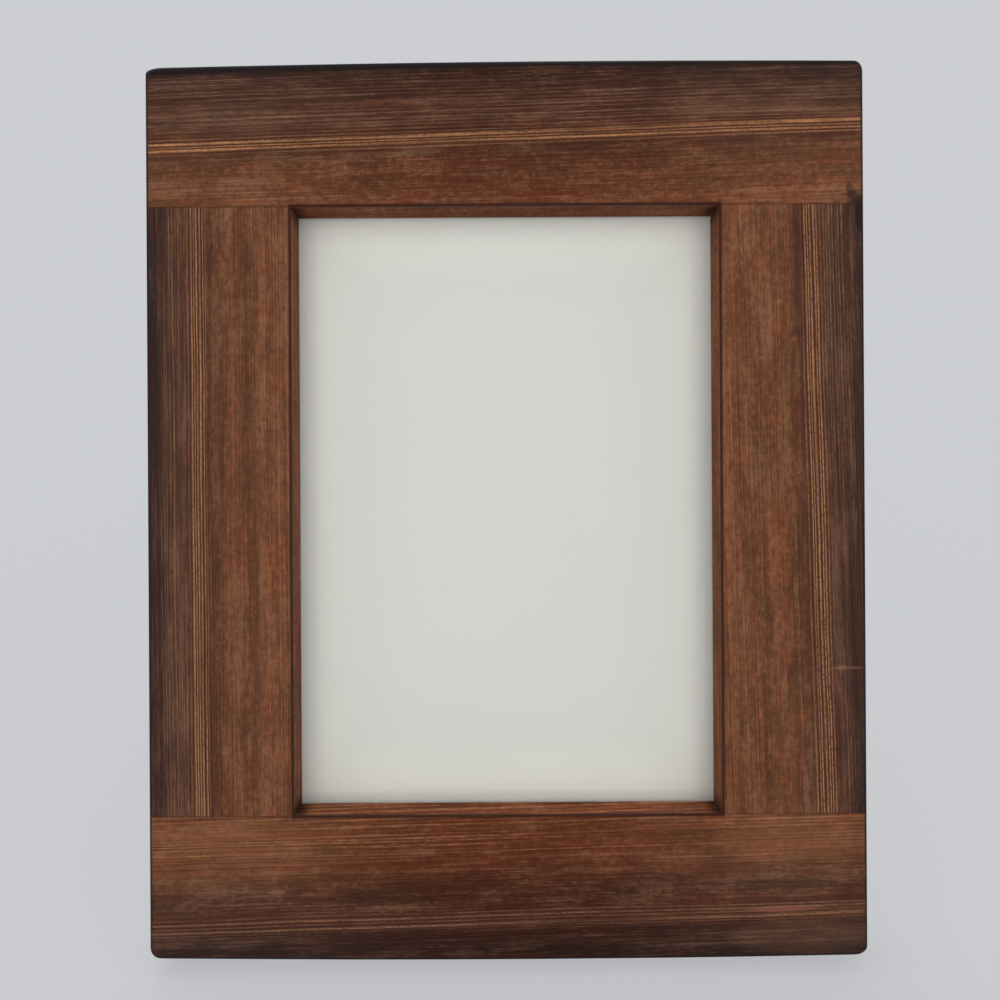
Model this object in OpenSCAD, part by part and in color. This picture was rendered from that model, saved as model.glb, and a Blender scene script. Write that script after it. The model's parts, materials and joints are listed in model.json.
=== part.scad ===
// Wooden picture frame that stands on an easel strut.
// Everything is drawn with the frame upright, its face at y = 0, its back towards +Y and its
// bottom edge at z = 0. stance() then leans it back onto the open strut.

/* [Picture and glass] */
// Width of the picture that the frame holds
picture_w = 127; // [90:1:160]
// Height of the picture that the frame holds
picture_h = 177.8; // [130:1:230]
// How far the wood laps over the picture on each side
lip_w = 3.2; // [2:0.1:5]
// Gap round the picture in the rabbet
rabbet_gap = 0.75; // [0.3:0.05:1.5]
// Thickness of the glass
glass_t = 2; // [1.5:0.1:3]
// Thickness of the blank paper insert
insert_t = 0.3; // [0.1:0.05:1]
// Thickness of the filler card behind the insert
filler_t = 1.2; // [0.5:0.1:2.5]
// Thickness of the hardboard back
back_board_t = 3; // [2.4:0.1:4]

/* [Boards] */
// Width of the two upright boards
stile_w = 40.8; // [30:0.5:60]
// Width of the two level boards
rail_w = 41; // [30:0.5:60]
// Wood in front of the glass
front_wall = 12.5; // [8:0.5:18]
// Thickness of the front half of each corner lap
lap_t = 9.5; // [6:0.5:11]
// Fall of the top edge from its highest place to its left end
top_crown = 1.3; // [0.2:0.1:2]
// Highest place of the top edge, to the right of the middle
top_peak = 30; // [0:1:60]
// Rise of the bottom edge from its middle to its ends
bottom_crown = 0.8; // [0.2:0.1:2]
// Depth of the eased front arris
arris_t = 1.6; // [0.8:0.1:2.4]
// Width of the eased arris at the left end of the top edge
top_arris_left = 2.6; // [1:0.1:3]
// Width of the eased arris at the right end of the top edge
top_arris_right = 1.1; // [0.6:0.1:3]
// Width of the eased arris along the bottom edge
bottom_arris = 1.2; // [0.6:0.1:3]
// Width of the eased arris along the sides
side_arris = 0.8; // [0.4:0.1:2]
// Size of the small arris round the back
back_arris = 0.8; // [0.4:0.1:1.5]
// Size of the small arris round the opening
opening_arris = 0.6; // [0.3:0.1:1.2]
// Diameter of the wooden pins in the corner laps
lap_pin_d = 6; // [4:0.5:8]
// How far the pins reach into the front half of the lap
lap_pin_bite = 5; // [3:0.5:7]

/* [Stand] */
// Lean of the frame from upright, in degrees
lean = 14; // [12:1:16]
// Angle of the open strut from upright, in degrees
strut_splay = 9; // [7:1:11]
// Height of the strut's hinge on the upright frame
pivot_z = 165; // [140:1:180]
// Width of each horn at the strut's top, beside the hinge
horn_w = 5; // [4:0.5:8]
// Width of the strut at its foot
strut_foot_w = 58; // [45:1:70]
// Thickness of the strut
strut_t = 4; // [3:0.5:5]
// Width of the hinge
hinge_w = 30; // [24:1:34]
// Number of knuckles
knuckles = 5; // [3:2:7]
// Outer radius of the knuckles
knuckle_r = 2; // [1.8:0.1:2.2]
// Radius of the hinge pin
hinge_pin_r = 1; // [0.8:0.05:1.1]
// Thickness of the hinge leaves
leaf_t = 1; // [0.8:0.1:1.2]
// Length of each hinge leaf from the pin
leaf_l = 22; // [18:1:28]
// Radius of the rivets' shanks
rivet_r = 1.2; // [1:0.1:1.4]

/* [Back hardware] */
// Distance of the turn buttons above and below the middle
button_z = 60; // [45:1:75]
// Distance of the turn buttons' screws from the rabbet's edge
button_inset = 7; // [6:0.5:10]
// Reach of a turn button from its screw
button_reach = 19; // [16:0.5:22]
// Width of a turn button
button_w = 9; // [8:0.5:11]
// Thickness of a turn button
button_t = 1.2; // [0.8:0.1:1.6]
// Radius of the screws' shanks
screw_r = 1.5; // [1.2:0.1:1.7]
// Depth of the screws in the wood
screw_l = 9; // [7:0.5:11]
// Length of a sawtooth hanger
hanger_l = 46; // [40:1:56]
// Width of a sawtooth hanger
hanger_w = 9; // [8:0.5:11]
// Thickness of a sawtooth hanger
hanger_t = 0.8; // [0.6:0.1:1.2]
// Height of a hanger's raised middle above the wood
hanger_lift = 1; // [0.8:0.1:1.6]
// Distance between two teeth
tooth_pitch = 2.4; // [2:0.1:3]
// Depth of the teeth
tooth_h = 1.6; // [1:0.1:2.2]
// Distance of the hangers' middle from the edge of the wood
hanger_inset = 13; // [11:0.5:18]
// Radius of the hangers' nails
nail_r = 0.8; // [0.7:0.05:1]
// Length of the nails in the wood
nail_l = 8; // [6:0.5:10]
// Diameter of the wall bumpers
bumper_d = 9.5; // [8:0.5:12]
// Thickness of the wall bumpers
bumper_t = 2.2; // [1.5:0.1:3]
// Distance of the bumpers' middle from the edges of the wood
bumper_inset = 12; // [9:0.5:16]

/* [Hidden] */
$fn = 64;

// Clearances
glue_gap = 0.05;    // round a pin, screw, nail or rivet in its hole
turn_gap = 0.05;    // between a turning part and its pin, on the radius
face_gap = 0.2;     // between a turning part and the face beside it
stop_gap = 0.1;     // between the strut's horns and the back board at the stop
over = 1;           // how far a cut runs past the face that it opens
slice_t = 0.01;     // thickness of a slice that a hull is stretched over

// Frame sizes
open_w = picture_w - 2 * lip_w;
open_h = picture_h - 2 * lip_w;
frame_w = open_w + 2 * stile_w;
frame_h = open_h + 2 * rail_w;
rabbet_w = picture_w + 2 * rabbet_gap;
rabbet_h = picture_h + 2 * rabbet_gap;
stock_t = front_wall + glass_t + insert_t + filler_t + back_board_t;
mid_z = frame_h / 2;

// Depth of each layer in the rabbet, from the glass to the hardboard
insert_y = front_wall + glass_t;
filler_y = insert_y + insert_t;
back_board_y = filler_y + filler_t;

// Radii of the worn corners along the edge and down the side
corner_tl = [4.8, 1.6];
corner_tr = [2.4, 3];
corner_br = [3.6, 2.4];
corner_bl = [2.9, 2.9];
corner_steps = 5;
crown_steps = 11;
arris_steps = 5;

// Stand sizes
leaf_gap = 0.3;                          // strut leaf to back board when folded
pivot_n = knuckle_r + face_gap;          // pin's distance behind the back board
strut_n = leaf_gap + leaf_t;             // strut's inner face when folded
strut_v = strut_n - pivot_n;             // the same face from the pin's axis
open_angle = lean + strut_splay;
lift = (stock_t - back_arris) * sin(lean);
pivot_height = pivot_z * cos(lean) - (stock_t + pivot_n) * sin(lean) + lift;
horn_h = (pivot_n + strut_v * cos(open_angle) - stop_gap) / sin(open_angle);
knuckle_w = hinge_w / knuckles;
knuckle_gap = face_gap;
pin_head_r = 1.6;
pin_head_t = 0.6;
notch_w = hinge_w + 2 * (knuckle_gap + pin_head_t + face_gap);
notch_h = knuckle_r + leaf_gap;
strut_top_w = notch_w + 2 * horn_w;
toe_r = 4;

// Rivets
rivet_head_r = 2.4;
rivet_head_t = 0.9;
rivet_set_r = 2;
rivet_set_t = 0.5;
rivet_inset = 6;
rivet_x = hinge_w / 2 - rivet_inset;
rivet_u = [leaf_l * 0.4, leaf_l * 0.77];

// Turn buttons
button_x = rabbet_w / 2 + button_inset;
button_tail = button_w / 2;
screw_head_r = 3;
screw_head_t = 1.8;
slot_w = 0.8;
slot_d = 0.7;

// Hangers
hanger_ramp = 3;
hanger_flat = 8;
nail_inset = 4;
nail_head_r = 1.9;
nail_head_t = 0.6;
teeth = floor((hanger_l - 2 * (hanger_flat + hanger_ramp) - tooth_pitch) / tooth_pitch);
landscape_x = hanger_inset - frame_w / 2;

// Lap pins, as shares of the corner block
lap_pin_share = [0.3, 0.7];

// Front and back of the whole stand, which set the origin in the middle of its depth
foot_back = (stock_t + pivot_n) * cos(lean) + pivot_z * sin(lean)
    + pivot_height * tan(strut_splay) + (strut_v + strut_t) / cos(strut_splay);
front_toe = bottom_arris * sin(lean);
depth_mid = (foot_back + front_toe) / 2;

// Leans what it holds back until the strut's foot and the back bottom arris share the ground
module stance() {
    translate([0, -depth_mid, lift]) rotate([-lean, 0, 0]) children();
}

// Places what is drawn on the back plane: x as it is, y outwards from the wood, z up
module on_back(n = 0) {
    translate([0, stock_t + n, 0]) children();
}

// Places what is drawn round the hinge's axis with the strut's length down -Z
module at_pivot(angle = 0) {
    on_back(pivot_n) translate([0, 0, pivot_z]) rotate([angle, 0, 0]) children();
}

// Cylinder along +Y from a start depth
module rod(r, from, to) {
    translate([0, from, 0]) rotate([-90, 0, 0]) cylinder(r = r, h = to - from);
}

// Fall of the crowned top edge and rise of the bottom edge at x
function top_fall(x) = top_crown * pow((x - top_peak) / (frame_w / 2 + top_peak), 2);
function bottom_rise(x) = bottom_crown * pow(2 * x / frame_w, 2);

// Height of the frame's edges at x, drawn in by a share f of the arris
function top_edge(x, f) = frame_h - top_fall(x)
    - f * (top_arris_left + (top_arris_right - top_arris_left) * (x / frame_w + 0.5));
function bottom_edge(x, f) = bottom_rise(x) + f * bottom_arris;

// Quarter of an oval corner, from angle a0, round the centre [x, z]
function worn_corner(x, z, radii, a0) = [
    for (i = [0 : corner_steps])
        let (a = a0 + 90 * i / corner_steps)
        [x + radii[0] * cos(a), z + radii[1] * sin(a)]
];

// Places along an edge between two corners, clear of both
function edge_places(left, right) = [
    for (i = [1 : crown_steps - 1])
        left + (right - left) * i / crown_steps
];

// Front outline of the frame, drawn in on every side by a share f of its arris
function outline(f) =
    let (
        hw = frame_w / 2 - f * side_arris,
        tr = hw - corner_tr[0],
        tl = corner_tl[0] - hw,
        bl = corner_bl[0] - hw,
        br = hw - corner_br[0],
        top = edge_places(tr, tl),
        bottom = edge_places(bl, br)
    )
    concat(
        worn_corner(tr, top_edge(tr, f) - corner_tr[1], corner_tr, 0),
        [for (x = top) [x, top_edge(x, f)]],
        worn_corner(tl, top_edge(tl, f) - corner_tl[1], corner_tl, 90),
        worn_corner(bl, bottom_edge(bl, f) + corner_bl[1], corner_bl, 180),
        [for (x = bottom) [x, bottom_edge(x, f)]],
        worn_corner(br, bottom_edge(br, f) + corner_br[1], corner_br, 270)
    );

// Thin slice of the outline at a depth, which the envelope is stretched over
module slice(f, depth) {
    y = max(slice_t / 2, min(stock_t - slice_t / 2, depth));
    translate([0, y, 0]) rotate([90, 0, 0])
        linear_extrude(height = slice_t, center = true) polygon(outline(f));
}

// Outer body of the frame with its crowned edges and eased arrises
module envelope() {
    hull() {
        for (i = [0 : arris_steps])
            let (a = 90 * i / arris_steps)
            slice(1 - sin(a), arris_t * (1 - cos(a)));
        slice(0, stock_t - back_arris);
        slice(back_arris / bottom_arris, stock_t);
    }
}

// Block that spans the whole stock between two depths
module layer(w, h, from, to) {
    translate([-w / 2, from, mid_z - h / 2]) cube([w, to - from, h]);
}

// Sight opening, its small arris and the rabbet behind it
module opening_cut() {
    layer(open_w, open_h, -over, stock_t + over);
    layer(rabbet_w, rabbet_h, front_wall, stock_t + over);
    intersection() {
        bevel_prism(open_w, frame_h * 2);
        translate([0, 0, mid_z]) rotate([0, 90, 0]) translate([0, 0, -mid_z])
            bevel_prism(open_h, frame_h * 2);
    }
}

// Prism along Z that widens towards the face by the opening's arris
module bevel_prism(w, l) {
    translate([0, 0, mid_z - l / 2]) linear_extrude(height = l)
        polygon([
            [-w / 2, opening_arris], [w / 2, opening_arris],
            [w / 2 + opening_arris + over, -over], [-w / 2 - opening_arris - over, -over]
        ]);
}

// Blocks of the half laps: rails run through in front, stiles run through behind.
// Each is drawn past the outer faces, which the envelope then trims.
module rail_block(z0) {
    outer = z0 > mid_z ? 0 : -over;
    translate([0, -over, z0 + outer]) {
        translate([-frame_w, 0, 0]) cube([2 * frame_w, lap_t + over, rail_w + over]);
        translate([-open_w / 2, 0, 0]) cube([open_w, stock_t + 2 * over, rail_w + over]);
    }
}

module stile_block(x0) {
    outer = x0 > 0 ? 0 : -over;
    translate([x0 + outer, 0, 0]) {
        translate([0, -over, rail_w]) cube([stile_w + over, stock_t + 2 * over, open_h]);
        translate([0, lap_t, -over])
            cube([stile_w + over, stock_t - lap_t + over, frame_h + 2 * over]);
    }
}

// Places its children at each pin of a corner lap, two to a corner
module at_lap_pins() {
    for (sx = [-1, 1], sz = [-1, 1], i = [0, 1])
        translate([
            sx * (open_w / 2 + stile_w * lap_pin_share[i]), 0,
            mid_z + sz * (open_h / 2 + rail_w * lap_pin_share[1 - i])
        ]) children();
}

module lap_pin_holes() {
    at_lap_pins() rod(lap_pin_d / 2 + glue_gap, lap_t - lap_pin_bite - glue_gap, stock_t + over);
}

// Places its children at each turn button's screw; the button points inwards
module at_button(sx, sz) {
    on_back() translate([sx * button_x, 0, mid_z + sz * button_z])
        rotate([0, sx > 0 ? 0 : 180, 0]) children();
}

module button_screw_holes() {
    for (sx = [-1, 1], sz = [-1, 1])
        at_button(sx, sz) rod(screw_r + glue_gap, -screw_l - glue_gap, over);
}

// Places its children on the top rail and on the left stile, flat on the wood
module at_portrait_hanger() {
    on_back() translate([0, 0, frame_h - hanger_inset]) children();
}

module at_landscape_hanger() {
    on_back() translate([landscape_x, 0, mid_z]) rotate([0, -90, 0]) children();
}

module hanger_nail_holes() {
    for (sx = [-1, 1])
        translate([sx * (hanger_l / 2 - nail_inset), 0, 0])
            rod(nail_r + glue_gap, -nail_l - glue_gap, over);
}

// Bare board: the envelope cut to a block, opened and bored
module board(tint) {
    color(tint) difference() {
        intersection() {
            envelope();
            children();
        }
        opening_cut();
        lap_pin_holes();
        button_screw_holes();
        at_portrait_hanger() hanger_nail_holes();
        at_landscape_hanger() hanger_nail_holes();
    }
}

module top_rail() stance() board("#5d3c2b") rail_block(frame_h - rail_w);

module bottom_rail() stance() board("#5d3c2b") rail_block(0);

module left_stile() stance() board("#66432f") stile_block(-frame_w / 2);

module right_stile() stance() board("#66432f") stile_block(open_w / 2);

module lap_pins() stance() color("#a98258")
    at_lap_pins() rod(lap_pin_d / 2, lap_t - lap_pin_bite, stock_t);

// Layers in the rabbet
module glass_pane() stance() color("#dfe9e6", 0.4)
    layer(picture_w, picture_h, front_wall, insert_y);

module picture_insert() stance() color("#e4e5e1")
    layer(picture_w, picture_h, insert_y, filler_y);

module filler_board() stance() color("#b7a88f")
    layer(picture_w, picture_h, filler_y, back_board_y);

module back_board() stance() color("#6b4a33") difference() {
    layer(picture_w, picture_h, back_board_y, stock_t);
    at_board_rivets() rod(rivet_r + glue_gap, -back_board_t - over, over);
    at_board_rivets()
        rod(rivet_set_r + glue_gap, -back_board_t - over, rivet_set_t - back_board_t);
}

// Rivets of the board leaf stand above the pin, those of the strut leaf below it
module at_board_rivets() {
    for (sx = [-1, 1], u = rivet_u)
        on_back() translate([sx * rivet_x, 0, pivot_z + u]) children();
}

module at_strut_rivets() {
    for (sx = [-1, 1], u = rivet_u) translate([sx * rivet_x, 0, -u]) children();
}

// Domed rivet along Y whose set end is flush at y0 and whose head sits on y1
module rivet(y0, y1) {
    dome = [for (a = [0 : 15 : 90]) [rivet_head_r * cos(a), y1 + rivet_head_t * sin(a)]];
    rotate([-90, 0, 0]) rotate_extrude()
        polygon(concat(
            [[0, y0], [rivet_set_r, y0], [rivet_set_r, y0 + rivet_set_t - glue_gap],
             [rivet_r, y0 + rivet_set_t - glue_gap], [rivet_r, y1]],
            [for (i = [0 : len(dome) - 2]) dome[i]], [[0, y1 + rivet_head_t]]
        ));
}

// One leaf's knuckles: every other one along the pin, starting with the first or second
module leaf_knuckles(first) {
    for (i = [first : 2 : knuckles - 1])
        translate([knuckle_x(i), 0, 0]) rotate([0, 90, 0])
            cylinder(r = knuckle_r, h = knuckle_w - knuckle_gap);
}

function knuckle_x(i) = -hinge_w / 2 + i * knuckle_w + knuckle_gap / 2;

// Room in a leaf for the other leaf's knuckles
module knuckle_room(first) {
    for (i = [first : 2 : knuckles - 1])
        translate([knuckle_x(i) - knuckle_gap, -knuckle_r * 2, -notch_h])
            cube([knuckle_w + knuckle_gap, knuckle_r * 4, notch_h * 2]);
}

module pin_bore() {
    translate([-hinge_w, 0, 0]) rotate([0, 90, 0])
        cylinder(r = hinge_pin_r + turn_gap, h = 2 * hinge_w);
}

module board_hinge_leaf() stance() color("#b59a5b") difference() {
    union() {
        difference() {
            on_back() translate([-hinge_w / 2, 0, pivot_z]) cube([hinge_w, leaf_t, leaf_l]);
            at_pivot() knuckle_room(1);
        }
        at_pivot() leaf_knuckles(0);
    }
    at_pivot() pin_bore();
    at_board_rivets() rod(rivet_r + glue_gap, -over, leaf_t + over);
}

module strut_hinge_leaf() stance() at_pivot(open_angle) color("#b59a5b") difference() {
    union() {
        difference() {
            translate([-hinge_w / 2, strut_v - leaf_t, -leaf_l]) cube([hinge_w, leaf_t, leaf_l]);
            knuckle_room(0);
        }
        leaf_knuckles(1);
    }
    pin_bore();
    at_strut_rivets() rod(rivet_r + glue_gap, strut_v - leaf_t - over, strut_v + over);
    at_strut_rivets()
        rod(rivet_set_r + glue_gap, strut_v - leaf_t - over, strut_v - leaf_t + rivet_set_t);
}

// Pin with a low upset head outside each end of the hinge
module hinge_pin() stance() at_pivot() color("#a8a59b") rotate([0, 90, 0]) {
    half = hinge_w / 2 + knuckle_gap;
    translate([0, 0, -half]) cylinder(r = hinge_pin_r, h = 2 * half);
    for (s = [-1, 1]) mirror([0, 0, s < 0 ? 1 : 0])
        translate([0, 0, half]) rotate_extrude()
            polygon([[0, 0], [pin_head_r, 0], [pin_head_r * 0.8, pin_head_t * 0.8],
                     [0, pin_head_t]]);
}

module board_leaf_rivets() stance() color("#c3a968")
    at_board_rivets() rivet(-back_board_t, leaf_t);

module strut_leaf_rivets() stance() at_pivot(open_angle) color("#c3a968")
    at_strut_rivets() rivet(strut_v - leaf_t, strut_v + strut_t);

// Side view of the strut: straight faces, with a foot that is level when the strut is open
module strut_side() {
    foot = [for (v = [strut_v, strut_v + strut_t])
        [v, -(pivot_height + v * sin(strut_splay)) / cos(strut_splay)]];
    rotate([90, 0, 90]) linear_extrude(height = 2 * strut_foot_w, center = true)
        polygon([foot[0], foot[1], [strut_v + strut_t, horn_h], [strut_v, horn_h]]);
}

// Face view of the strut: a long taper with rounded toes, notched at the top for the hinge
module strut_face() {
    toe_z = -pivot_height / cos(strut_splay) - over;
    toe = [for (a = [-90 : 15 : 0])
        [strut_foot_w / 2 + toe_r * (cos(a) - 1), toe_z + (toe_r + over) * (1 + sin(a))]];
    half = concat(toe, [[strut_top_w / 2, horn_h]]);
    rotate([90, 0, 0]) linear_extrude(height = 8 * strut_t, center = true) difference() {
        polygon(concat(half, [for (i = [len(half) - 1 : -1 : 0]) [-half[i][0], half[i][1]]]));
        translate([-notch_w / 2, -notch_h]) square([notch_w, notch_h + horn_h + over]);
    }
}

module easel_strut() stance() at_pivot(open_angle) color("#6b4a33") difference() {
    intersection() {
        strut_side();
        strut_face();
    }
    at_strut_rivets() rod(rivet_r + glue_gap, strut_v - over, strut_v + strut_t + over);
}

// Turn button: a flat lozenge with round ends, its screw nearer the outer end
module turn_button(sx, sz, tint) stance() at_button(sx, sz) color(tint)
    translate([0, face_gap, 0]) rotate([-90, 0, 0]) difference() {
        linear_extrude(height = button_t) {
            circle(d = button_w);
            translate([-button_reach + button_tail, -button_w / 2])
                square([button_reach - button_tail, button_w]);
            translate([-button_reach + button_tail, 0]) circle(d = button_w);
        }
        translate([0, 0, -over]) cylinder(r = screw_r + turn_gap, h = button_t + 2 * over);
    }

module turn_button_upper_left() turn_button(-1, 1, "#b59a5b");

module turn_button_lower_left() turn_button(-1, -1, "#b59a5b");

module turn_button_upper_right() turn_button(1, 1, "#b59a5b");

module turn_button_lower_right() turn_button(1, -1, "#b59a5b");

// Screw with a domed, slotted head that stands just clear of its button
module button_screw() {
    head_y = face_gap + button_t + face_gap / 2;
    dome = [for (a = [0 : 15 : 75])
        [screw_head_r * cos(a), head_y + 0.4 + (screw_head_t - 0.4) * sin(a)]];
    difference() {
        rotate([-90, 0, 0]) rotate_extrude()
            polygon(concat(
                [[0, -screw_l], [screw_r * 0.5, -screw_l + 1], [screw_r, -screw_l + 3],
                 [screw_r, head_y], [screw_head_r, head_y]],
                dome, [[0, head_y + screw_head_t]]
            ));
        translate([-slot_w / 2, head_y + screw_head_t - slot_d, -screw_head_r - over])
            cube([slot_w, slot_d + over, 2 * (screw_head_r + over)]);
    }
}

module turn_button_screws() stance() color("#c3a968")
    for (sx = [-1, 1], sz = [-1, 1]) at_button(sx, sz) button_screw();

// Sawtooth hanger along X: nailed ends, a raised middle and teeth along its lower edge
module hanger() color("#b59a5b") difference() {
    e = hanger_l / 2;
    flat_x = e - hanger_flat;
    raised_x = flat_x - hanger_ramp;
    translate([0, 0, -hanger_w / 2]) linear_extrude(height = hanger_w)
        polygon([
            [-e, 0], [-flat_x, 0], [-raised_x, hanger_lift], [raised_x, hanger_lift],
            [flat_x, 0], [e, 0], [e, hanger_t], [flat_x - hanger_t / 2, hanger_t],
            [raised_x - hanger_t / 2, hanger_lift + hanger_t],
            [-raised_x + hanger_t / 2, hanger_lift + hanger_t],
            [-flat_x + hanger_t / 2, hanger_t], [-e, hanger_t]
        ]);
    for (i = [0 : teeth - 1])
        let (x = (i - (teeth - 1) / 2) * tooth_pitch)
        translate([x, 0, -hanger_w / 2]) rotate([90, 0, 0])
            linear_extrude(height = 4 * (hanger_lift + hanger_t), center = true)
                polygon([[-tooth_pitch * 0.45, -over], [tooth_pitch * 0.45, -over],
                         [tooth_pitch * 0.45, 0], [0, tooth_h], [-tooth_pitch * 0.45, 0]]);
    for (sx = [-1, 1])
        translate([sx * (e - nail_inset), 0, 0]) rod(nail_r + glue_gap, -over, hanger_t + over);
}

module portrait_hanger() stance() at_portrait_hanger() hanger();

module landscape_hanger() stance() at_landscape_hanger() hanger();

module nail_pair() {
    for (sx = [-1, 1]) translate([sx * (hanger_l / 2 - nail_inset), 0, 0])
        rotate([-90, 0, 0]) rotate_extrude()
            polygon([[0, -nail_l], [nail_r, 1.5 - nail_l], [nail_r, hanger_t],
                     [nail_head_r, hanger_t], [nail_head_r * 0.8, hanger_t + nail_head_t],
                     [0, hanger_t + nail_head_t]]);
}

module hanger_nails() stance() color("#a8a59b") {
    at_portrait_hanger() nail_pair();
    at_landscape_hanger() nail_pair();
}

module wall_bumpers() stance() color("#3c3836")
    for (s = [-1, 1]) on_back()
        translate([s * (frame_w / 2 - bumper_inset), 0, bumper_inset])
            rotate([-90, 0, 0]) rotate_extrude()
                polygon([[0, 0], [bumper_d / 2, 0], [bumper_d / 2, bumper_t * 0.7],
                         [bumper_d / 2 - bumper_t * 0.3, bumper_t], [0, bumper_t]]);

top_rail();
bottom_rail();
left_stile();
right_stile();
lap_pins();
glass_pane();
picture_insert();
filler_board();
back_board();
board_hinge_leaf();
strut_hinge_leaf();
hinge_pin();
board_leaf_rivets();
strut_leaf_rivets();
easel_strut();
turn_button_upper_left();
turn_button_lower_left();
turn_button_upper_right();
turn_button_lower_right();
turn_button_screws();
portrait_hanger();
landscape_hanger();
hanger_nails();
wall_bumpers();
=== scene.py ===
"""Wooden picture frame: its finishes, its finer pieces and its studio stage."""

import json
import math
from typing import NamedTuple

import bmesh
import bpy
from bpy.props import FloatProperty, FloatVectorProperty, PointerProperty
from mathutils import Matrix, Vector

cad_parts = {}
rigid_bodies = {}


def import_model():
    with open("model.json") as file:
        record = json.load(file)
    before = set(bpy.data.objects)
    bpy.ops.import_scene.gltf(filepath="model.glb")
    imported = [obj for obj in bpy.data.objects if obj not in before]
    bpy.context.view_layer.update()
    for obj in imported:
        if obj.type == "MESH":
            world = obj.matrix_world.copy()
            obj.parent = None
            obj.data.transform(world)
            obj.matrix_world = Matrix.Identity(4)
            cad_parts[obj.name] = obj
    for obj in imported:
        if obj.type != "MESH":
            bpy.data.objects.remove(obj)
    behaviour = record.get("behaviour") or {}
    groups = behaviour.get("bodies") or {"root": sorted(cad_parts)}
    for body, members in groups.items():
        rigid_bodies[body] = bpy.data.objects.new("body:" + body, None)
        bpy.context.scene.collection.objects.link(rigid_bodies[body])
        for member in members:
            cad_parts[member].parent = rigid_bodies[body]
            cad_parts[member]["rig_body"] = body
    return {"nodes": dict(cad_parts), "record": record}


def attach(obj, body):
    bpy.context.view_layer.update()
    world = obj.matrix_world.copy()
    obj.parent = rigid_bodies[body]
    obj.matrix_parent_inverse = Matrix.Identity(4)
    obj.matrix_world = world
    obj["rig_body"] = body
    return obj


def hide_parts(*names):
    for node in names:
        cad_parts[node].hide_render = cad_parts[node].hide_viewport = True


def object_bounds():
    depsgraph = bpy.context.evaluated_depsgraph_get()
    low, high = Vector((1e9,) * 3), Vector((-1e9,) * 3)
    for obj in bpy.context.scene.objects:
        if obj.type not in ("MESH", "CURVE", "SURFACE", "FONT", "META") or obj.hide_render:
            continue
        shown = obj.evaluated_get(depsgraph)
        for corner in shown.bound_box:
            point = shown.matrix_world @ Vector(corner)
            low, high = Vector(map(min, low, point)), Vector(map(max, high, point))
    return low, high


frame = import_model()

bl_info = {
    "name": "Wooden Picture Frame",
    "version": (1, 0, 0),
    "blender": (4, 5, 0),
    "location": "View3D > Sidebar > Picture Frame",
    "description": "Finishes a leaning wooden picture frame and sets its studio stage",
    "category": "Object",
}

MM = 0.001
CAD_LO, CAD_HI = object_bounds()
MOUNTS = {m["name"]: m for m in frame["record"]["mounts"]}
BACK_NORMAL = Vector(MOUNTS["left_bumper"]["axis"])

# Settings that a user would change


def srgb(red, green, blue):
    """A colour read as 0 to 255 on a screen, as the shader's own linear numbers."""
    return tuple(
        v / 12.92 if v <= 0.04045 else ((v + 0.055) / 1.055) ** 2.4
        for v in (red / 255, green / 255, blue / 255)
    )


def length(name, text, metres):
    return FloatProperty(
        name=name, description=text, default=metres, min=0.0, max=1.0,
        subtype="DISTANCE", unit="LENGTH",
    )


def angle(name, text, radians):
    return FloatProperty(
        name=name, description=text, default=radians, subtype="ANGLE", unit="ROTATION",
    )


def share(name, text, value):
    return FloatProperty(
        name=name, description=text, default=value, min=0.0, max=1.0, subtype="FACTOR",
    )


def colour(name, text, value):
    return FloatVectorProperty(
        name=name, description=text, default=value, min=0.0, max=1.0, size=3, subtype="COLOR",
    )


class FrameSizes(bpy.types.PropertyGroup):
    """Sizes of the frame, as it stands upright before it leans back."""

    lean: angle("Lean", "Lean of the frame from upright", math.asin(-BACK_NORMAL.z))
    width: length("Width", "Outside width", CAD_HI.x - CAD_LO.x)
    height: length("Height", "Outside height", 253.4 * MM)
    stock: length("Stock", "Thickness of the boards", 19 * MM)
    open_width: length("Opening width", "Width of the sight opening", 120.6 * MM)
    open_height: length("Opening height", "Height of the sight opening", 171.4 * MM)
    top_crown: length("Top crown", "Fall of the top edge to its left end", 1.3 * MM)
    top_peak: length("Top peak", "Highest place of the top edge, right of the middle", 30 * MM)
    bottom_crown: length("Bottom crown", "Rise of the bottom edge at its ends", 0.8 * MM)
    front_toe: length("Front toe", "Width of the arris along the bottom edge", 1.2 * MM)
    back_arris: length("Back arris", "Size of the arris round the back", 0.8 * MM)


class WoodLook(bpy.types.PropertyGroup):
    """Tones and figure of the oiled softwood."""

    bark: colour("Bark", "Darkest wood, along the outer edges", srgb(44, 28, 25))
    umber: colour("Umber", "Dark wood outside the light rings", srgb(77, 48, 35))
    walnut: colour("Walnut", "Band on each side of the light rings", srgb(80, 45, 30))
    russet: colour("Russet", "Plain wood inside the light rings", srgb(96, 57, 36))
    amber: colour("Amber", "Lighter wood beside the opening", srgb(109, 65, 41))
    honey: colour("Honey", "Light early wood of the rings", srgb(178, 124, 82))
    # Chestnut also paints the shade along the rim of the opening, and the dark seams between the
    # boards.
    chestnut: colour("Chestnut", "Late wood between light rings", srgb(66, 34, 23))
    # Near-black of the dark marks, and of the painted shade along the top edge and round the outer
    # arrises.
    soot: colour("Soot", "Stain on the worn outer arrises", srgb(27, 19, 18))
    fawn: colour("Fawn", "Fine light lines outside the rings", srgb(146, 109, 86))
    scuff: colour("Scuff", "Bare wood in a dent or scratch", srgb(138, 98, 74))
    rose: colour("Rose", "Pale reddish streak in the rings", srgb(156, 98, 76))
    ring_pitch: length("Ring pitch", "Distance between two rings", 1.08 * MM)
    gloss: share("Roughness", "Roughness of the oiled face", 0.5)


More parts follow.
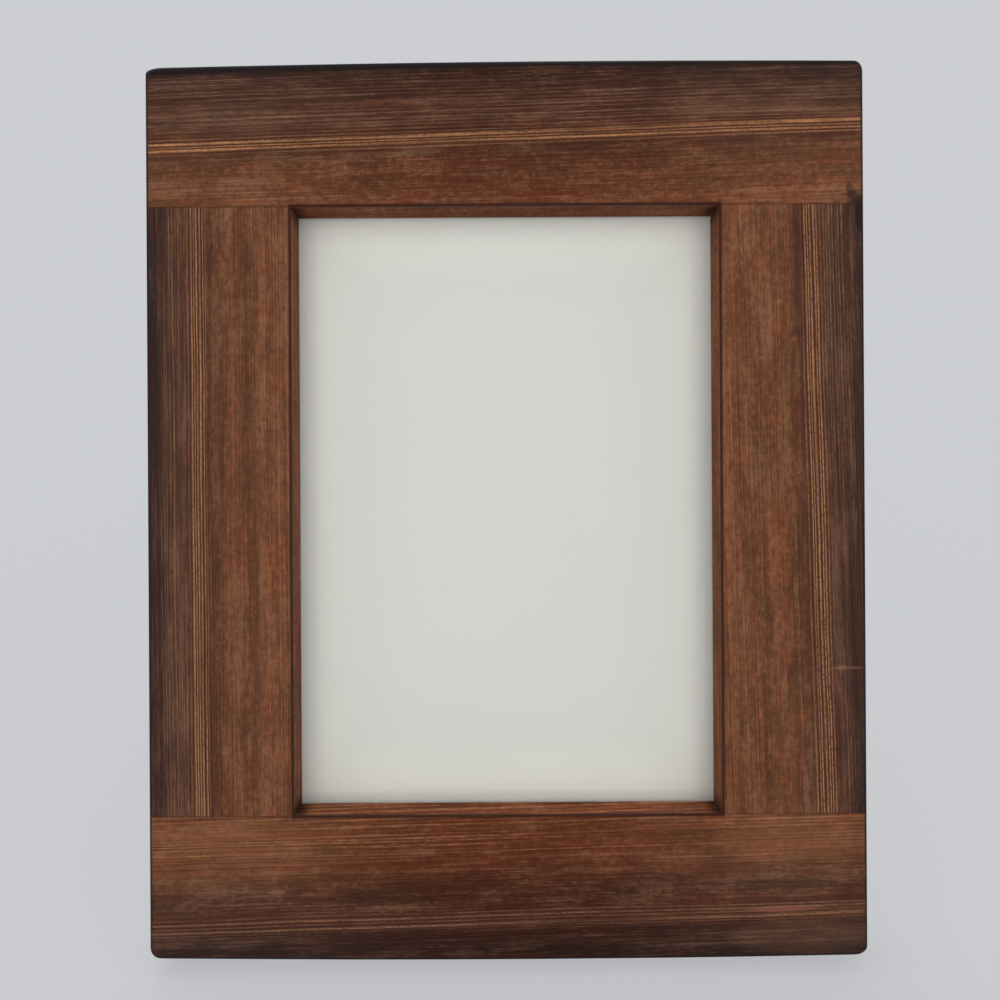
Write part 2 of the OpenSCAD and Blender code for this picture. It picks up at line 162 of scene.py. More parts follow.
class FittingLook(bpy.types.PropertyGroup):
    """Colours of what the boards hold and carry."""

    insert: colour("Insert", "Blank paper behind the glass", srgb(222, 221, 216))
    card: colour("Card", "Filler card behind the insert", srgb(182, 170, 146))
    back: colour("Back", "Hardboard back", srgb(118, 84, 58))
    strut: colour("Strut", "Hardboard of the easel strut", srgb(112, 80, 56))
    pin_end: colour("Pin ends", "End grain of the wooden pins", srgb(150, 108, 72))
    brass: colour("Brass", "Hinge, turn buttons and their screws", srgb(196, 166, 104))
    plate: colour("Plate", "Brassed plate of the hangers", srgb(200, 174, 118))
    steel: colour("Steel", "Hinge pin and hanger nails", srgb(176, 174, 170))
    rubber: colour("Rubber", "Wall bumpers", srgb(58, 54, 52))


class StageLook(bpy.types.PropertyGroup):
    """Floor, lights and camera."""

    floor: colour("Background", "Pale background, as the camera sees it", srgb(204, 206, 210))
    paint: colour("Floor paint", "Paint of the floor, which the lamps light", srgb(226, 228, 231))
    sky: colour("Sky", "Light from all round", (0.97, 0.985, 1.0))
    lamp: colour("Lamps", "Light of the lamps", (1.0, 0.985, 0.96))
    distance: length("Camera distance", "From the camera to the face of the frame", 291 * MM)
    left: length("Camera left", "Camera's offset to the left of the middle", 1.8 * MM)
    above: length("Camera above", "Camera's offset above the middle", 2.9 * MM)
    field: angle("Field of view", "Width of the camera's view", math.radians(51.55))
    roll: angle("Roll", "Turn of the camera about its own axis", math.radians(0.33))


GROUPS = {
    "picture_frame_sizes": FrameSizes,
    "picture_frame_wood": WoodLook,
    "picture_frame_fittings": FittingLook,
    "picture_frame_stage": StageLook,
}


def settings(group):
    """One group of the add-on's values in the open scene."""
    return getattr(bpy.context.scene, "picture_frame_" + group)


def stance():
    """Leans upright pieces back onto the open strut, as the model stands."""
    sizes = settings("sizes")
    forward = CAD_LO.y - sizes.front_toe * math.sin(sizes.lean)
    lift = (sizes.stock - sizes.back_arris) * math.sin(sizes.lean)
    return Matrix.Translation((0, forward, lift)) @ Matrix.Rotation(-sizes.lean, 4, "X")


def face_size():
    """Half the frame's width, and its height, in millimetres."""
    sizes = settings("sizes")
    return sizes.width / MM / 2, sizes.height / MM


# Shader making

# Sockets of the Mix node for colours: its share, its two colours and its result
MIX_SHARE = 0
MIX_FIRST = 6
MIX_SECOND = 7
MIX_RESULT = 2


def operators(operation):
    """A Python operator and its reflected form, each of which adds one Math node."""

    def plain(self, other):
        return self.shader.sum(operation, self, other)

    def reflected(self, other):
        return self.shader.sum(operation, other, self)

    return plain, reflected


class Value:
    """A shader socket that can be used in a sum; each sum adds its Math node."""

    __add__, __radd__ = operators("ADD")
    __sub__, __rsub__ = operators("SUBTRACT")
    __mul__, __rmul__ = operators("MULTIPLY")
    __truediv__, __rtruediv__ = operators("DIVIDE")
    __pow__, __rpow__ = operators("POWER")

    def __init__(self, shader, socket):
        self.shader = shader
        self.socket = socket

    def __abs__(self):
        return self.shader.sum("ABSOLUTE", self)

    def cosine(self):
        return self.shader.sum("COSINE", self)

    def at_least(self, other):
        """The higher of two values."""
        return self.shader.sum("MAXIMUM", self, other)

    def at_most(self, other):
        """The lower of two values."""
        return self.shader.sum("MINIMUM", self, other)

    def around(self, reach):
        """A noise from 0 to 1, moved to lie round 0 and given a reach."""
        return (self - 0.5) * reach

    def output(self, name):
        """Another output of the same node."""
        return Value(self.shader, self.socket.node.outputs[name])


class Shader:
    """The nodes of one material or world, made one by one."""

    def __init__(self, owner):
        self.owner = owner
        owner.use_nodes = True
        self.tree = owner.node_tree
        self.tree.nodes.clear()

    def node(self, kind, options=None, inputs=None, out=0):
        """Adds a node, sets its options first, then fills its sockets; gives an output, if any."""
        made = self.tree.nodes.new(kind)
        for key, value in (options or {}).items():
            if key == "stops":
                self.set_stops(made.color_ramp, value)
            else:
                setattr(made, key, value)
        for key, value in (inputs or {}).items():
            self.fill(made.inputs[key], value)
        return Value(self, made.outputs[out]) if made.outputs else None

    def fill(self, socket, value):
        """Links a value to a socket, or sets the socket to a number, a place or a colour."""
        if isinstance(value, Value):
            self.tree.links.new(value.socket, socket)
        elif socket.type == "RGBA":
            socket.default_value = (*value, 1.0)
        else:
            socket.default_value = value

    @staticmethod
    def set_stops(ramp, stops):
        """Gives a colour ramp its stops, each a place from 0 to 1 and a colour."""
        while len(ramp.elements) < len(stops):
            ramp.elements.new(1.0)
        for element, (place, tone) in zip(ramp.elements, stops):
            element.position = place
            element.color = (*tone, 1.0)

    def sum(self, operation, *terms):
        """Math node on numbers or values."""
        return self.node("ShaderNodeMath", {"operation": operation}, dict(enumerate(terms)))

    def upright(self):
        """Place on the upright frame in millimetres: x across, y into the wood, z up."""
        at = stance()
        turned = self.node(
            "ShaderNodeMapping",
            {"vector_type": "TEXTURE"},
            {
                "Vector": self.node("ShaderNodeTexCoord", out="Object"),
                "Location": at.to_translation(),
                "Rotation": at.to_euler(),
                "Scale": (MM, MM, MM),
            },
        )
        first = self.node("ShaderNodeSeparateXYZ", inputs={"Vector": turned})
        return first, first.output("Y"), first.output("Z")

    def join(self, x, y, z):
        return self.node("ShaderNodeCombineXYZ", inputs={"X": x, "Y": y, "Z": z})

    def noise(self, x, y, z, detail=2.0, roughness=0.5):
        """Soft noise from 0 to 1 that varies over one unit each way."""
        return self.node(
            "ShaderNodeTexNoise",
            inputs={
                "Vector": self.join(x, y, z), "Scale": 1.0,
                "Detail": detail, "Roughness": roughness,
            },
        )

    def step(self, value, low, high):
        """0 below low, 1 above high and smooth between; low may be the higher one."""
        return self.node(
            "ShaderNodeMapRange",
            {"interpolation_type": "SMOOTHSTEP"},
            {"Value": value, "From Min": low, "From Max": high},
        )

    def mix(self, share, first, second, blend="MIX"):
        """Mixes two colours."""
        return self.node(
            "ShaderNodeMix",
            {"data_type": "RGBA", "blend_type": blend, "clamp_factor": True},
            {MIX_SHARE: share, MIX_FIRST: first, MIX_SECOND: second},
            out=MIX_RESULT,
        )

    def gain(self, tone, amount):
        """Brightens or darkens a colour by a number that may vary."""
        return self.mix(1.0, tone, self.join(amount, amount, amount), "MULTIPLY")

    def bump(self, height, distance, strength):
        """Relief from a height of 0 to 1, which stands out by a distance in metres."""
        return self.node(
            "ShaderNodeBump",
            inputs={"Height": height, "Distance": distance, "Strength": strength},
        )

    def finish(self, tone, roughness, normal, specular=0.5, metallic=0.0):
        """Ends in a Principled shader, and gives the finished material."""
        body = self.node(
            "ShaderNodeBsdfPrincipled",
            inputs={
                "Base Color": tone, "Roughness": roughness, "Normal": normal,
                "Specular IOR Level": specular, "Metallic": metallic,
            },
        )
        self.node("ShaderNodeOutputMaterial", inputs={"Surface": body})
        return self.owner

    def blend(self, share, first, second, end="ShaderNodeOutputMaterial"):
        """Ends in a mix of two shaders, and gives the finished material or world."""
        both = self.node("ShaderNodeMixShader", inputs={0: share, 1: first, 2: second})
        self.node(end, inputs={"Surface": both})
        return self.owner


def new_shader(name):
    """Nodes of a new material."""
    return Shader(bpy.data.materials.new(name))


# Modelling by hand

SHARP_EDGE = 35.0  # Degrees, above which an edge is eased and stays sharp in the shading
SAME_PLACE = 0.002 * MM  # Corners nearer to each other than this are one
SAME_PLANE = math.radians(0.3)  # Faces nearer to one plane than this are one
PARALLEL = 0.99999  # Cosine between the normals of two faces in one plane
NEARLY_ONE = 0.9  # Least part of a normal of length 1 that points the wanted way
OVERLAP = 0.02 * MM * MM  # Area by which triangles that overlap exceed their face
MOST_REFILLS = 40


def local_box(node, place):
    """Lowest and highest corners of a CAD node, in metres, seen from a place."""
    back = place.inverted()
    spots = [back @ v.co for v in frame["nodes"][node].data.vertices]
    return (
        Vector(min(v[i] for v in spots) for i in range(3)),
        Vector(max(v[i] for v in spots) for i in range(3)),
    )


def select(*pieces):
    """Selects some objects and nothing else; the first becomes the active one."""
    bpy.ops.object.select_all(action="DESELECT")
    for piece in pieces:
        piece.select_set(True)
    if pieces:
        bpy.context.view_layer.objects.active = pieces[0]


def edit(piece):
    """Opens a piece in edit mode with nothing selected, and gives its mesh."""
    select(piece)
    bpy.ops.object.mode_set(mode="EDIT")
    bpy.ops.mesh.select_all(action="DESELECT")
    return bmesh.from_edit_mesh(piece.data)


def close():
    bpy.ops.object.mode_set(mode="OBJECT")


def pick(piece, mesh, kind, test):
    """Selects the faces or verts of an open mesh that pass a test, and nothing else."""
    bpy.ops.mesh.select_all(action="DESELECT")
    bpy.ops.mesh.select_mode(type={"faces": "FACE", "verts": "VERT"}[kind])
    for part in getattr(mesh, kind):
        part.select_set(test(part))
    mesh.select_flush_mode()
    bmesh.update_edit_mesh(piece.data)


def apply_place():
    """Moves the place of the selected object into its mesh."""
    bpy.ops.object.transform_apply(location=True, rotation=True, scale=True)


def modify(piece, kind, **options):
    """Adds a modifier and applies it."""
    select(piece)
    added = piece.modifiers.new(kind.lower(), kind)
    for key, value in options.items():
        setattr(added, key, value)
    bpy.ops.object.modifier_apply(modifier=added.name)


def ease(piece, width, segments=2, sharp=SHARP_EDGE):
    """Rounds every edge sharper than an angle, and shades the rest smooth."""
    modify(
        piece, "BEVEL", width=width, segments=segments, limit_method="ANGLE", loop_slide=False,
        angle_limit=math.radians(sharp), use_clamp_overlap=False, miter_outer="MITER_ARC",
    )
    refill(piece)
    smooth(piece)


def crossed(mesh):
    """Faces whose outline crosses itself, so that their triangles overlap."""
    areas = {}
    for corners in mesh.calc_loop_triangles():
        a, b, c = (corner.vert.co for corner in corners)
        face = corners[0].face
        areas[face] = areas.get(face, 0.0) + (b - a).cross(c - a).length / 2
    return [face for face, area in areas.items() if area - face.calc_area() > OVERLAP]


def whole_plane(face):
    """A face with all the faces that join on to it in its own plane."""
    flat = {face}
    front = [face]
    while front:
        at = front.pop()
        for other in (f for edge in at.edges for f in edge.link_faces):
            if other not in flat and other.normal.dot(at.normal) > PARALLEL:
                flat.add(other)
                front.append(other)
    return flat


def refill(piece):
    """Lays each flat face again where the rounding made its outline cross itself."""
    edit(piece)
    for _ in range(MOST_REFILLS):
        mesh = bmesh.from_edit_mesh(piece.data)
        faulty = crossed(mesh)
        if not faulty:
            break
        flat = whole_plane(faulty[0])
        pick(piece, mesh, "faces", lambda face: face in flat)
        bpy.ops.mesh.delete(type="FACE")
        bpy.ops.mesh.select_mode(type="EDGE")
        bpy.ops.mesh.select_non_manifold(
            use_wire=True, use_boundary=True, use_multi_face=False,
            use_non_contiguous=False, use_verts=False,
        )
        bpy.ops.mesh.fill(use_beauty=True)
        bpy.ops.mesh.select_all(action="SELECT")
        bpy.ops.mesh.normals_make_consistent(inside=False)
    close()


def smooth(piece):
    """Shades the curved parts smooth while the flat faces stay flat."""
    select(piece)
    bpy.ops.object.shade_smooth_by_angle(angle=math.radians(SHARP_EDGE))
    modify(piece, "WEIGHTED_NORMAL", mode="FACE_AREA", weight=100, thresh=0.0, keep_sharp=True)


def sink_top(piece, rim, slope, depth):
    """Sinks a panel into the face that looks out of the back, inside a rim and a slope."""
    mesh = edit(piece)
    pick(piece, mesh, "faces", lambda face: face.normal.y > NEARLY_ONE)
    bpy.ops.mesh.inset(thickness=rim)
    bpy.ops.mesh.inset(thickness=slope, depth=-depth)
    close()


def cut(piece, tool):
    """Cuts a tool's shape out of a piece and removes the tool."""
    modify(piece, "BOOLEAN", operation="DIFFERENCE", object=tool, solver="EXACT")
    bpy.data.objects.remove(tool)


def block(name, lo, hi):
    """Box between two corners."""
    select()
    bpy.ops.mesh.primitive_cube_add(size=1.0, location=(lo + hi) / 2)
    piece = bpy.context.object
    piece.name = name
    piece.scale = hi - lo
    apply_place()
    return piece


def disc(name, radius, base, height, sides=48):
    """Cylinder that stands on the back plane and points out of it, along Y."""
    select()
    bpy.ops.mesh.primitive_cylinder_add(
        vertices=sides, radius=radius, depth=height,
        location=base + Vector((0, height / 2, 0)), rotation=(-math.pi / 2, 0, 0),
    )
    piece = bpy.context.object
    piece.name = name
    apply_place()
    return piece


def join(name, pieces):
    """Joins some pieces into one."""
    select(*pieces)
    bpy.ops.object.join()
    pieces[0].name = name
    return pieces[0]


def traced(name, node, width, segments=2):
    """Finer piece on a CAD node's own shape: its flat faces made whole and its edges eased."""
    piece = bpy.data.objects.new(name, frame["nodes"][node].data.copy())
    bpy.context.collection.objects.link(piece)
    edit(piece)
    bpy.ops.mesh.select_all(action="SELECT")
    bpy.ops.mesh.remove_doubles(threshold=SAME_PLACE)
    bpy.ops.mesh.dissolve_limited(angle_limit=SAME_PLANE)
    close()
    ease(piece, width, segments)
    return piece


def paint(node, material):
    """Gives a CAD node its finish."""
    slots = frame["nodes"][node].data.materials
    slots.clear()
    slots.append(material)


def fit(piece, node, material, place=None):
    """Gives a piece its finish and its place, and puts it on the body of the node it shows."""
    paint(node, material)
    if place is not None:
        select(piece)
        piece.matrix_world = place @ piece.matrix_world
        apply_place()
    piece.data.materials.clear()
    piece.data.materials.append(material)
    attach(piece, frame["nodes"][node]["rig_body"])
    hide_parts(node)


def dress(name, node, width, material, segments=2):
    """Shows a CAD node as a finer piece on its own shape."""
    fit(traced(name, node, width, segments), node, material)


# Oiled wood


class Mark(NamedTuple):
    """Soft oval patch on a board's face, in millimetres and degrees."""

    tint: str  # Its colour, among those of the wood
    strength: float
    centre: tuple  # Across from the frame's middle, and up from its foot
    reach: tuple  # Half its length, and half its width
    turn: float = 0.0  # Anticlockwise from level


class Board(NamedTuple):
    """How the wood of one board looks, in millimetres and in shares."""

    side: str  # Edge of the frame that the board lies along
    seed: float  # Makes its noise its own
    cluster: float  # From its outer edge to the middle of its light rings
    breadth: float  # How far the light rings fade out past their group
    slope: float  # How far the rings lean across it for each millimetre along it
    pitch: float  # Distance between its rings, as a share of the usual
    tones: tuple  # Plain tones, each with its place inward from the light rings
    dusk: float  # How far in the dark outer wood reaches
    depth: float  # Strength of that dark wood
    calm: float  # How much weaker the figure is there
    middle: float  # Strength of the deeper colour at the middle of its length
    mottle: float  # Strength of the cross flecks
    shine: float  # Strength of the light rings
    warmth: float  # How much honey, and not fawn, is in them
    crisp: float  # How narrow they are
    wear: float  # How much they are broken up
    fine: float  # Strength of the faint rings outside them
    inner: float  # Strength of the faint rings beside the opening
    # Painted light: the wall's extra lightness, strongest on the bottom rail's upward-facing wall.
    wall: float  # How much lighter its wall of the opening is than its face
    marks: tuple = ()


RAIL_TONES = (
    (-13.0, "umber"), (-4.5, "umber"), (-3.5, "walnut"), (3.0, "walnut"), (5.5, "russet"),
    (16.0, "amber"),
)
LOW_RAIL_TONES = (
    (-10.0, "umber"), (-3.5, "walnut"), (4.5, "walnut"), (7.5, "umber"), (13.0, "russet"),
    (17.0, "amber"),
)
STILE_TONES = (
    (-12.0, "umber"), (-4.0, "umber"), (-2.5, "walnut"), (2.8, "walnut"), (6.5, "russet"),
    (9.5, "amber"), (13.5, "russet"), (18.0, "amber"),
)
RIGHT_STILE_TONES = (
    (-12.0, "umber"), (-4.0, "umber"), (-2.5, "walnut"), (2.8, "walnut"), (6.5, "russet"),
    (10.0, "amber"), (14.0, "amber"), (16.0, "russet"), (18.5, "amber"),
)
BOARDS = {
    "top_rail": Board(
        side="top", seed=11.0, cluster=21.6, breadth=0.3, slope=0.030, pitch=1.0,
        tones=RAIL_TONES, dusk=13.0, depth=0.8, calm=0.0, middle=0.7, mottle=1.1,
        shine=0.78, warmth=0.9, crisp=1.6, wear=0.4, fine=0.42, inner=0.0, wall=0.38,
        marks=(
            Mark("bark", 0.7, (97.2, 216.0), (2.4, 1.2), -75),
            Mark("bark", 0.75, (98.3, 213.8), (2.6, 2.2), -60),
            Mark("soot", 0.75, (99.6, 212.6), (2.4, 2.0)),
        ),
    ),
    "bottom_rail": Board(
        side="bottom", seed=27.0, cluster=12.0, breadth=0.6, slope=-0.028, pitch=1.0,
        tones=LOW_RAIL_TONES, dusk=18.0, depth=1.0, calm=0.35, middle=0.92, mottle=0.55,
        shine=0.42, warmth=0.4, crisp=2.2, wear=0.5, fine=0.16, inner=0.5, wall=1.05,
        marks=(
            Mark("scuff", 0.5, (-65.0, 19.7), (2.5, 0.7)),
            Mark("rose", 0.4, (77.0, 14.3), (10.0, 0.9), 1.6),
            Mark("honey", 0.1, (78.0, 33.5), (20.0, 6.5)),
            Mark("honey", 0.07, (-72.0, 33.5), (22.0, 6.5)),
            Mark("scuff", 0.13, (82.0, 6.5), (20.0, 5.0)),
        ),
    ),
    "left_stile": Board(
        side="left", seed=43.0, cluster=14.8, breadth=0.6, slope=0.0062, pitch=0.8,
        tones=STILE_TONES, dusk=8.5, depth=0.92, calm=0.4, middle=0.0, mottle=0.85,
        shine=0.98, warmth=0.6, crisp=2.2, wear=0.4, fine=0.58, inner=0.16, wall=0.3,
    ),
    "right_stile": Board(
        side="right", seed=61.0, cluster=13.4, breadth=1.2, slope=-0.0273, pitch=0.82,
        tones=RIGHT_STILE_TONES, dusk=8.0, depth=0.8, calm=0.3, middle=0.0, mottle=1.0,
        shine=1.04, warmth=0.6, crisp=2.2, wear=0.6, fine=0.66, inner=0.16, wall=0.25,
        marks=(
            Mark("soot", 0.95, (100.0, 209.5), (1.6, 5.0)),
            Mark("scuff", 0.45, (95.5, 81.9), (4.7, 0.4)),
            Mark("scuff", 0.4, (93.8, 82.0), (1.3, 0.8)),
        ),
    ),
}

# Place along a board from its middle, and inward from its outer edge
AXES = {
    "top": lambda x, z, half_w, height: (x, height - z),
    "bottom": lambda x, z, half_w, height: (x, z),
    "left": lambda x, z, half_w, height: (z - height / 2, half_w + x),
    "right": lambda x, z, half_w, height: (z - height / 2, half_w - x),
}

TONES_SPAN = 40.0  # Millimetres of wood that the ramp of plain tones covers
TONES_START = 0.4  # Place of the light rings' middle on that ramp
MIDDLE_TINT = (0.62, 0.37, 0.18)  # Deepens the colour at the middle of a rail
MIDDLE_REACH = (15, 80)  # Distances from there between which the deeper colour fades
COOL_TINT = (0.95, 1.03, 1.05)
WARM_TINT = (1.05, 0.97, 0.93)
RING_SLANT = 0.3  # How far the rings shift for each millimetre into the wood
FACE_TURN = (0.8, 2.5)  # Depths between which the face turns into a wall of the opening
# Painted shade: the near-black band below the top edge stands in for the shade on the rounded top
# edge.
SHADE_BAND_DEPTH = 2.7  # Depth of the black band below the top edge, at its left end
SHADE_BAND_TAPER = 0.68  # How much shallower it is at the middle, and again at the right end


class Grain(NamedTuple):
    """Where a point lies in a board's wood, in millimetres, as values of a shader."""

    run: Value  # Along the board, from its middle
    edge: Value  # Inward from its outer edge
    depth: Value  # Into the wood from its face
    ring: Value  # Across the rings
    inward: Value  # Across the rings from the middle of the light ones
    wave: Value  # 1 on a light ring and 0 halfway to the next
    outer: Value  # 1 outside the light rings and 0 inside them
    shadow: Value  # 1 in the dark wood along the outer edge


class Figure(NamedTuple):
    """Light and dark figure of the wood, round 0, and three of its layers, from 0 to 1."""

    total: Value
    streaks: Value
    fibres: Value
    blotch: Value


def oiled_wood(name, board):
    """Wood of one board, with its rings, its marks, painted shade on its top edge, outer arrises
    and the rim of the opening, and painted light on the walls of the opening.
    """
    look = settings("wood")
    s = new_shader(name)
    x, y, z = s.upright()
    grain = lay_rings(s, board, x, y, z)
    figure = layer_figure(s, board, grain)
    tone = plain_tone(s, board, grain, x)
    tone = shade_figure(s, board, grain, figure, tone)
    tone = draw_rings(s, board, grain, tone)
    tone = draw_marks(s, board, tone, x, y, z)
    # Painted shade: near-black along the top edge and round the outer arrises.
    tone = s.mix(painted_edge_shade(s, x, y, z), tone, look.soot)
    # Painted shade along the rim of the opening; the seams between the boards are dark joints.
    tone = s.mix(rim_shade_and_seams(s, x, y, z), tone, look.chestnut)
    walls = s.step(y, *FACE_TURN)
    # Painted light: the walls of the opening made lighter than the face, darker in its corners.
    tone = s.gain(tone, 1 + walls * painted_wall_light(s, board, grain, x, z))
    roughness = (
        look.gloss + figure.fibres.around(0.2) + figure.blotch.around(0.12) + walls * 0.35
    )
    relief = grain.wave * 0.35 + figure.fibres * 0.4 + figure.streaks * 0.25
    return s.finish(tone, roughness, normal=s.bump(relief, 0.06 * MM, 0.6), specular=0.12)


def lay_rings(s, board, x, y, z):
    """Lays rings along a board, straight but for a slow drift and a short ripple."""
    run, edge = AXES[board.side](x, z, *face_size())
    seed = board.seed
    drift = s.noise(run / 90, edge / 40, y / 40 + seed, 1.0)
    ripple = s.noise(run / 11, edge / 5, y / 9 + seed + 31, 2.0)
    ring = edge + run * board.slope + y * RING_SLANT + drift.around(1.4) + ripple.around(0.3)
    spacing = s.noise(ring / 2.4, seed, run / 400, 1.0)
    pitch = settings("wood").ring_pitch / MM * board.pitch
    phase = ring / pitch + spacing.around(1.9)
    wave = (phase * (2 * math.pi)).cosine() * 0.5 + 0.5
    inward = ring - board.cluster
    fray = s.noise(run / 25, edge / 4, seed + 2, 3.0, 0.6)
    return Grain(
        run=run, edge=edge, depth=y, ring=ring, inward=inward, wave=wave,
        outer=1 - s.step(inward, -6, 6),
        shadow=1 - s.step(edge + fray.around(5), 1.5, board.dusk),
    )


def plain_tone(s, board, grain, x):
    """Plain tones across a board, darker along its outer edge and deeper at its middle."""
    look = settings("wood")
    stops = [(TONES_START + at / TONES_SPAN, getattr(look, tint)) for at, tint in board.tones]
    tone = s.node(
        "ShaderNodeValToRGB", {"stops": stops}, {"Fac": grain.inward / TONES_SPAN + TONES_START},
    )
    tone = s.mix(grain.shadow * board.depth, tone, look.bark)
    if board.middle:
        middle = 1 - s.step(abs(x), *MIDDLE_REACH)
        tone = s.mix(middle * board.middle, tone, s.mix(1.0, tone, MIDDLE_TINT, "MULTIPLY"))
    return tone


def layer_figure(s, board, grain):
    """Adds up the figure from broad bands to single fibres, each a noise with its strength."""
    run, ring, seed = grain.run, grain.ring, board.seed
    bands = s.noise(ring / 4.5, run / 150, seed + 11, 2.0, 0.6)
    lines = s.noise(ring * 0.8, run / 55, seed + 15, 2.0, 0.7)
    streaks = s.noise(run / 9, ring * 1.3, grain.depth + seed, 3.0, 0.65)
    fibres = s.noise(run / 2.6, ring * 1.6, grain.depth * 2 + seed, 2.0, 0.7)
    hairs = s.noise(run / 45, ring * 3.0, seed + 63, 1.0)
    flecks = s.noise(run / 2.2, ring / 1.9, seed + 5, 2.0, 0.65)
    curls = s.step(s.noise(run / 1.2, ring / 2.4, seed + 71, 2.0, 0.6), 0.56, 0.76)
    blotch = s.noise(run / 16, ring / 6, seed + 9, 3.0, 0.6)
    mottled = s.step(grain.inward, 2, 6) * board.mottle + 0.15
    total = (
        bands.around(1.3) + lines.around(1.1) + streaks.around(1.0)
        + hairs.around(grain.outer * 0.6 + 0.9) + fibres.around(1.2)
        + (flecks.around(1.4) + curls * 0.4) * mottled + blotch.around(1.8)
    )
    return Figure(total * (1 - grain.shadow * board.calm), streaks, fibres, blotch)


def shade_figure(s, board, grain, figure, tone):
    """Darkens and lightens a tone by the figure, and makes it warmer here and cooler there."""
    lighter = figure.total.at_least(0.0)
    darker = figure.total.at_most(0.0)
    tone = s.gain(tone, 1.0 + darker * 0.62 + lighter * 0.6)
    tone = s.mix(lighter * 0.42, tone, settings("wood").fawn)
    warm = s.step(s.noise(grain.run / 22, grain.ring / 3, board.seed + 41, 2.0), 0.35, 0.65)
    return s.mix(1.0, tone, s.mix(warm, COOL_TINT, WARM_TINT), "MULTIPLY")


def draw_rings(s, board, grain, tone):
    """Draws the light rings, the faint ones beside them and the dark wood between them."""
    look = settings("wood")
    run, ring, inward, wave, seed = grain.run, grain.ring, grain.inward, grain.wave, board.seed
    fade = 2.2 + board.breadth
    core = s.step(inward, -fade, -1.8) * (1 - s.step(inward, 1.7, fade))
    inner = s.step(inward, 16, 21) * board.inner
    broken = s.noise(run / 9, ring * 1.5, seed + 3, 3.0, 0.65)
    uneven = s.noise(ring / 0.9, run / 60, seed + 51, 1.0) * 2.4 - 0.25
    bright = core * (broken * 2.2 - 0.22) * board.shine * uneven

    group = s.step(s.noise(ring / 2.0, seed + 7, run / 120, 2.0), 0.36, 0.6)
    short = s.step(s.noise(run / 8, ring * 1.1, seed + 19, 2.0, 0.6), 0.44, 0.60)
    lit = 1 - grain.shadow * 0.75
    faint = (grain.outer * board.fine + inner + 0.10) * group * (short * 0.6 + 0.4) * lit

    gaps = s.step(s.noise(run / 1.1, ring * 1.2, seed + 57, 2.0, 0.6), 0.54, 0.38)
    light = wave ** board.crisp * bright + wave ** 3.2 * (1 - core) * faint
    light = light * (1 - gaps * board.wear)
    dark = (1 - wave) ** 1.4 * (core * 0.8 + (1 - core) * group * 0.3) * (broken + 0.45)

    dashes = s.noise(run / 7, ring * 2.4, grain.depth * 2 + seed + 17, 2.0, 0.6)
    pores = s.noise(run * 0.9, ring * 2.4, grain.depth + seed + 21, 1.0)
    dark = dark + s.step(dashes, 0.42, 0.28) * 0.3 + s.step(pores, 0.66, 0.76) * 0.3
    light = light + s.step(dashes, 0.58, 0.72) * 0.12
    tone = s.mix(dark, tone, look.chestnut)
    return s.mix(light, tone, s.mix(core * board.warmth + inner * 1.6, look.fawn, look.honey))


def draw_marks(s, board, tone, x, y, z):
    """Draws a board's own knot, dent, scratch or streak, each on its place on the face."""
    look = settings("wood")
    ragged = s.noise(x / 0.9, z / 0.9, board.seed, 2.0) * 0.6 + 0.55
    near_face = 1 - s.step(y, 1.0, 4.0)
    for mark in board.marks:
        patch = oval(s, mark, x, z) * ragged * near_face
        tone = s.mix(patch * mark.strength, tone, getattr(look, mark.tint))
    return tone


def oval(s, mark, x, z):
    """1 inside a mark and 0 outside it."""
    across, up = x - mark.centre[0], z - mark.centre[1]
    cos, sin = math.cos(math.radians(mark.turn)), math.sin(math.radians(mark.turn))
    along = (across * cos + up * sin) / mark.reach[0]
    over = (up * cos - across * sin) / mark.reach[1]
    return 1 - s.step(along * along + over * over, 0.5, 1.4)


def painted_edge_shade(s, x, y, z):
    """Where near-black painted shade lies: a band along the rounded top edge, wide at the left,
    and the outer arrises.
    """
    sizes = settings("sizes")
    half_w, height = face_size()
    fuzz = s.noise(x / 14, y / 5, z / 3, 3.0, 0.6) - 0.5
    peak = sizes.top_peak / MM
    fall = ((x - peak) / (half_w + peak)) ** 2 * (sizes.top_crown / MM)
    rise = (x / half_w) ** 2 * (sizes.bottom_crown / MM)
    band = SHADE_BAND_DEPTH - (x / half_w + 1) * SHADE_BAND_TAPER + fuzz * 1.3
    top = 1 - s.step(height - fall - z, band - 0.5, band + 0.7)
    rim = (half_w - abs(x)).at_most(z - rise)
    arris = 1 - s.step(rim + fuzz * 0.6, 0.5, 1.3)
    fading = 1 - s.step(y, 4, 12) * 0.55
    return top.at_least(arris * 0.95) * fading


def sight_depth(x, z):
    """Distances inward from the upright and from the level edges of the opening."""
    sizes = settings("sizes")
    across = sizes.open_width / MM / 2 - abs(x)
    along = sizes.open_height / MM / 2 - abs(z - sizes.height / MM / 2)
    return across, along


def rim_shade_and_seams(s, x, y, z):
    """Painted shade along the rounded rim where the face turns into the opening, and the dark
    seams where the boards meet.
    """
    across, along = sight_depth(x, z)
    worn = s.noise(x / 7, y, z / 7, 2.0)
    rim = 1 - s.step(abs(across.at_most(along) + 0.1), 0.35, 0.8)
    rim = rim * (1 - s.step(y, 0.9, 1.6)) * (worn * 0.5 + 0.75)
    seam = (1 - s.step(abs(along), 0.05, 0.4)) * s.step(across, 0.2, -0.4) * (worn * 0.9 + 0.1)
    return rim.at_least(seam * 0.8)


def painted_wall_light(s, board, grain, x, z):
    """Painted light: how much lighter the walls of the opening are than the face, less in its
    corners, where painted shade falls.
    """
    across, along = sight_depth(x, z)
    corner = 1 - s.step(across.at_least(along), 0.4, 4.5)
    inside = s.step(grain.edge, 38, 40)
    return inside * (board.wall - corner * (board.wall + 0.5))


# Other finishes


